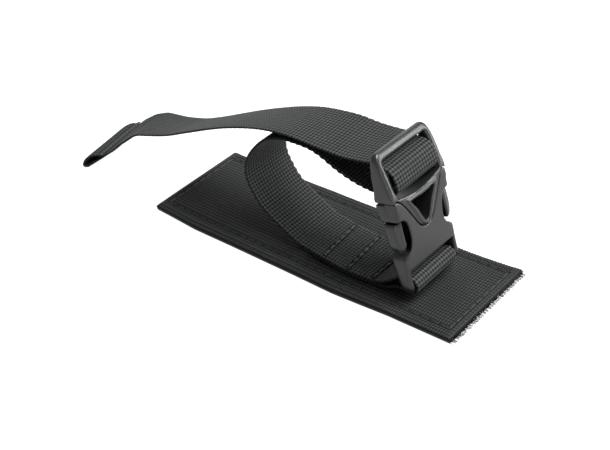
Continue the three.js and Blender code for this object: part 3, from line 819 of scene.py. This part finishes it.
def make_loop():
    """The sewn layers and the free loop, one length of strap up to the top of the loop."""
    line = smooth_line(metres(sewn_route() + LOOP_LOWER), STRAP_STEP)
    on_loop = (line[:, 0] < 2.4 * MM) & (np.arange(len(line)) > len(line) // 4)
    middle = blurred(np.where(on_loop, loop_middle(line), sewn_middle(line)), 12)
    middle[-1] = loop_middle(line)[-1]
    length = line_length(line)
    piece = strap("strap_sewn_and_loop", line, middle, np.zeros(len(line)), pressed=press_cross_seams)
    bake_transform(piece)
    dress_strap(piece, length, "hung", "strap_under_layer", "buckle_web_fold", "strap_top_layer",
                "strap_loop_lower")
    return length


def make_upper(start):
    """From the top of the loop to the ladder lock, round its bar and out behind it."""
    route = LOOP_UPPER[:-1] + [buckle_point(out, along) for out, along in LADDER_WRAP]
    line = smooth_line(metres(route), STRAP_STEP)
    piece = strap("strap_to_ladder_lock", line, loop_middle(line), np.zeros(len(line)), start)
    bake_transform(piece)
    dress_strap(piece, line_length(line), "stretched", "strap_loop_upper", "ladder_wrap")
    return start + line_length(line)


HEM_LENGTH = 12 * MM
HEM_SEAM = 9.5 * MM
PLY = STRAP_THICKNESS + 0.15 * MM
HEM_GAP = 1.7 * MM
HEM_END_SUNK = 0.35 * PLY
HEM_TURN_BACK = 1.1 * MM
HEM_SAMPLE = 1.5 * MM


def off_line(line, back, lift):
    """The point `back` along a centre line from its end, and `lift` over its upper side."""
    at = max(1, len(line) - 1 - round(back / STRAP_STEP))
    tangent = line[at] - line[at - 1]
    tangent /= np.linalg.norm(tangent)
    return line[at] + np.array([tangent[1], -tangent[0]]) * lift


def top_ply_lift(back):
    """The folded ply bows up between the tip and the seam, where the thread pulls it down.
    Past the seam its cut end is pressed into the strap."""
    bow = math.sin(math.pi * min(1, back / HEM_SEAM)) ** 0.5
    sunk = HEM_END_SUNK * max(0, back - HEM_SEAM) / (HEM_LENGTH - HEM_SEAM)
    return PLY + HEM_GAP * bow - sunk


def tail_with_hem():
    """The tail's centre line: at the tip it turns back on its upper side, as its hem."""
    line = smooth_line(metres(TAIL), STRAP_STEP)
    turn_radius = top_ply_lift(HEM_TURN_BACK) / 2
    turn = [off_line(line, HEM_TURN_BACK * (1 - math.sin(a)), turn_radius * (1 - math.cos(a)))
            for a in np.linspace(0, math.pi, 7)[1:-1]]
    body = line[:len(line) - round(HEM_TURN_BACK / STRAP_STEP)]
    top = [off_line(line, back, top_ply_lift(back))
           for back in np.arange(HEM_TURN_BACK, HEM_LENGTH, HEM_SAMPLE)]
    return evenly(np.vstack([body, smooth_line(turn + top, STRAP_STEP)]), STRAP_STEP)


def tail_rise(line):
    stations = metres(TAIL_RISE)
    return blurred(np.interp(line[:, 0], stations[:, 0], stations[:, 1]), 8)


def tail_middle(line):
    stations = metres(TAIL_MIDDLE)
    return blurred(STRAP_Y + np.interp(line[:, 0], stations[:, 0], stations[:, 1]), 10)


def make_tail(start):
    line = tail_with_hem()
    piece = strap("strap_tail_hemmed", line, tail_middle(line), tail_rise(line), start)
    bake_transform(piece)
    dress_strap(piece, line_length(line), "hung", "strap_tail", "tail_hem")


def make_hem_seam():
    line = smooth_line(metres(TAIL), STRAP_STEP)
    at = len(line) - 1 - round(HEM_SEAM / STRAP_STEP)
    tangent = line[at + 1] - line[at]
    slope = math.atan2(-tangent[1], -tangent[0])
    x, z = off_line(line, HEM_SEAM, PLY + STRAP_THICKNESS / 2)
    tilt = math.atan(tail_rise(line)[at] / STRAP_WIDTH)
    centres, pitch = row_centres(STRAP_WIDTH - 3 * MM, CROSS_STITCH)
    turn = (Matrix.Translation((x, tail_middle(line)[at], z)) @ Matrix.Rotation(tilt, 4, "X")
            @ Matrix.Rotation(-slope, 4, "Y"))
    seam("hem_stitching", [[(0, y, 0) for y in centres]], pitch, "tail", "hem_seam",
         thread=SEAM_THREAD, radius=0.3 * MM, arch=0.3 * MM, turn=turn)


# ---------------------------------------------------------------- the buckle
def relaxed(mesh, passes, softness=None):
    """Pulls every point half way to the mean of its neighbours, some times over. softness
    says, from 0 to 1, how much each place gives way."""
    count = len(mesh.vertices)
    edges = np.empty(len(mesh.edges) * 2, np.int64)
    mesh.edges.foreach_get("vertices", edges)
    edges = edges.reshape(-1, 2)
    degree = np.bincount(edges.ravel(), minlength=count)[:, None]
    places = np.empty(count * 3, np.float32)
    mesh.vertices.foreach_get("co", places)
    places = places.reshape(-1, 3).astype(float)
    pull = np.full(count, 0.5) if softness is None else 0.5 * softness(places)
    for _ in range(passes):
        total = np.zeros_like(places)
        for k in range(3):
            total[:, k] += np.bincount(edges[:, 0], places[edges[:, 1], k], count)
            total[:, k] += np.bincount(edges[:, 1], places[edges[:, 0], k], count)
        places += (total / degree - places) * pull[:, None]
    mesh.vertices.foreach_set("co", places.astype(np.float32).ravel())
    mesh.update()


# Places in the buckle, in millimetres along it and across it, and how fine its mouldings are.
LADDER_START = 38.5
COLLAR_START = 33.5
SOCKET_SIDE = 12.5
PRONG_SIDE = 12
BODY_VOXEL = 0.3 * MM
PRONG_VOXEL = 0.22 * MM
SOFTENING_PASSES = 5
ROUNDING_PASSES = 50


def in_buckle(places):
    """How far along the buckle and across it each place lies, in millimetres."""
    offsets = places - np.array(BAR)
    return offsets @ np.array(ALONG) / MM, offsets @ np.array(ALONG.cross(OUT)) / MM


def ladder_frame(places):
    """The rails and end bar of the ladder lock, which are round all over."""
    along, _ = in_buckle(places)
    return np.clip((along - LADDER_START) / 3, 0, 1)


def socket_rim(places):
    """The socket's outer edges, away from its collar's joint."""
    along, across = in_buckle(places)
    sides = np.clip((np.abs(across) - SOCKET_SIDE) / 1.5, 0, 1)
    return sides * np.clip((COLLAR_START - along) / 2, 0, 1)


def prong_pad(places):
    """The outer part of a prong, where a finger presses it."""
    _, across = in_buckle(places)
    return np.clip((np.abs(across) - PRONG_SIDE) / 1.5, 0, 1)


def moulded(name, node, body, voxel, rounded=None):
    """A moulded plastic piece over its CAD node, with the soft edges of a real moulding,
    softer still where rounded says so."""
    mesh = frame["nodes"][node].data.copy()
    mesh.name = name
    shell = bmesh.new()
    shell.from_mesh(mesh)
    bmesh.ops.remove_doubles(shell, verts=shell.verts, dist=0.002 * MM)
    shell.to_mesh(mesh)
    shell.free()
    mesh.materials.clear()
    source = new_object(name + "_source", mesh)
    remesh = source.modifiers.new("skin", "REMESH")
    remesh.mode = "VOXEL"
    remesh.voxel_size = voxel
    evaluated = source.evaluated_get(bpy.context.evaluated_depsgraph_get())
    skin = bpy.data.meshes.new_from_object(evaluated)
    bpy.data.objects.remove(source)
    skin.name = name
    relaxed(skin, SOFTENING_PASSES)
    if rounded is not None:
        relaxed(skin, ROUNDING_PASSES, rounded)
    smooth_shaded(skin)
    skin.materials.clear()
    skin.materials.append(PLASTIC)
    piece = new_object(name, skin)
    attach(piece, body)
    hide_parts(node)
    return piece


def make_buckle():
    moulded("buckle_socket_moulded", "buckle_socket", "socket", BODY_VOXEL, socket_rim)
    moulded("buckle_plug_moulded", "buckle_plug", "plug", BODY_VOXEL, ladder_frame)
    moulded("prong_near_moulded", "prong_near", "near_prong", PRONG_VOXEL, prong_pad)
    moulded("prong_far_moulded", "prong_far", "far_prong", PRONG_VOXEL, prong_pad)


# ---------------------------------------------------------------- the studio
def make_camera():
    """The camera stands to the right of the pad's near side and looks down at it."""
    azimuth, elevation, roll = (math.radians(a) for a in (42.61, 36.07, -4.98))
    back = Vector((math.sin(azimuth) * math.cos(elevation), -math.cos(azimuth) * math.cos(elevation),
                   math.sin(elevation)))
    level = (-back).cross(Vector((0, 0, 1))).normalized()
    upright = level.cross(-back)
    right = level * math.cos(roll) + upright * math.sin(roll)
    up = upright * math.cos(roll) - level * math.sin(roll)
    data = bpy.data.cameras.new("camera")
    data.lens = 72.74
    data.sensor_width = 36
    data.clip_start = 0.01
    data.dof.use_dof = False
    camera = bpy.data.objects.new("camera", data)
    bpy.context.scene.collection.objects.link(camera)
    turned = Matrix((right, up, back)).transposed().to_4x4()
    camera.matrix_world = Matrix.Translation(Vector((268.15, -306.25, 305.03)) * MM) @ turned
    bpy.context.scene.camera = camera


def seen_brightness(shader_tree, direct, mirrored):
    """A brightness that the eye sees, directly or mirrored in a surface, but that throws no
    diffuse light back on the object."""
    path = shader_tree.nodes.new("ShaderNodeLightPath")
    total = shader_tree.nodes.new("ShaderNodeMath")
    total.operation = "ADD"
    for index, (ray, strength) in enumerate((("Is Camera Ray", direct), ("Is Glossy Ray", mirrored))):
        seen = shader_tree.nodes.new("ShaderNodeMath")
        seen.operation = "MULTIPLY"
        seen.inputs[1].default_value = strength
        shader_tree.links.new(path.outputs[ray], seen.inputs[0])
        shader_tree.links.new(seen.outputs[0], total.inputs[index])
    return total.outputs[0]


def make_floor():
    shader = Shader("pale_floor", Roughness=0.9, Specular_IOR_Level=0.1)
    cloudy = shader.noise(shader.on_object(), 3.0, 2.0)
    shader.feed("Base Color", shader.mix(cloudy, (0.30, 0.30, 0.30, 1), (0.33, 0.33, 0.33, 1)))
    shader.surface.inputs["Emission Color"].default_value = (1, 1, 1, 1)
    shader.feed("Emission Strength", seen_brightness(shader.tree, 0.95, 0.55))
    mesh = bpy.data.meshes.new("floor")
    half = 6
    mesh.from_pydata([(-half, -half, 0), (half, -half, 0), (half, half, 0), (-half, half, 0)], [],
                     [(0, 1, 2, 3)])
    mesh.materials.append(shader.material)
    new_object("floor", mesh)


def softbox(name, place, size, power, mirrored_only=False):
    """A rectangular lamp aimed at the object; some are only there to be mirrored in it."""
    data = bpy.data.lights.new(name, "AREA")
    data.shape = "RECTANGLE"
    data.size, data.size_y = size
    data.energy = power
    light = bpy.data.objects.new(name, data)
    light.location = place
    light.visible_diffuse = not mirrored_only
    light.rotation_mode = "QUATERNION"
    light.rotation_quaternion = (-Vector(place)).to_track_quat("-Z", "Y")
    bpy.context.scene.collection.objects.link(light)


def make_lights():
    softbox("top_softbox", (0.7, 0.3, 1.7), (1.1, 1.1), 50)
    softbox("right_strip", (1.3, 1.3, 0.35), (0.4, 1.6), 26)
    softbox("back_card", (-0.9, 1.0, 0.75), (1.2, 1.0), 6, mirrored_only=True)
    softbox("front_card", (1.5, -1.0, 0.35), (0.2, 0.8), 8, mirrored_only=True)
    world = bpy.data.worlds.new("studio")
    world.use_nodes = True
    background = world.node_tree.nodes["Background"]
    background.inputs["Color"].default_value = (0.93, 0.97, 1, 1)
    ambient = world.node_tree.nodes.new("ShaderNodeMath")
    ambient.operation = "ADD"
    ambient.inputs[1].default_value = 0.08
    world.node_tree.links.new(seen_brightness(world.node_tree, 0.95, 0.3), ambient.inputs[0])
    world.node_tree.links.new(ambient.outputs[0], background.inputs["Strength"])
    bpy.context.scene.world = world
    bpy.context.scene.view_settings.view_transform = "Standard"


make_camera()
make_pad_webbing()
make_edge_seam()
make_hook_tape()
loop_end = make_loop()
tail_start = make_upper(loop_end)
make_tail(tail_start)
make_cross_seams()
make_hem_seam()
make_buckle()
make_floor()
make_lights()
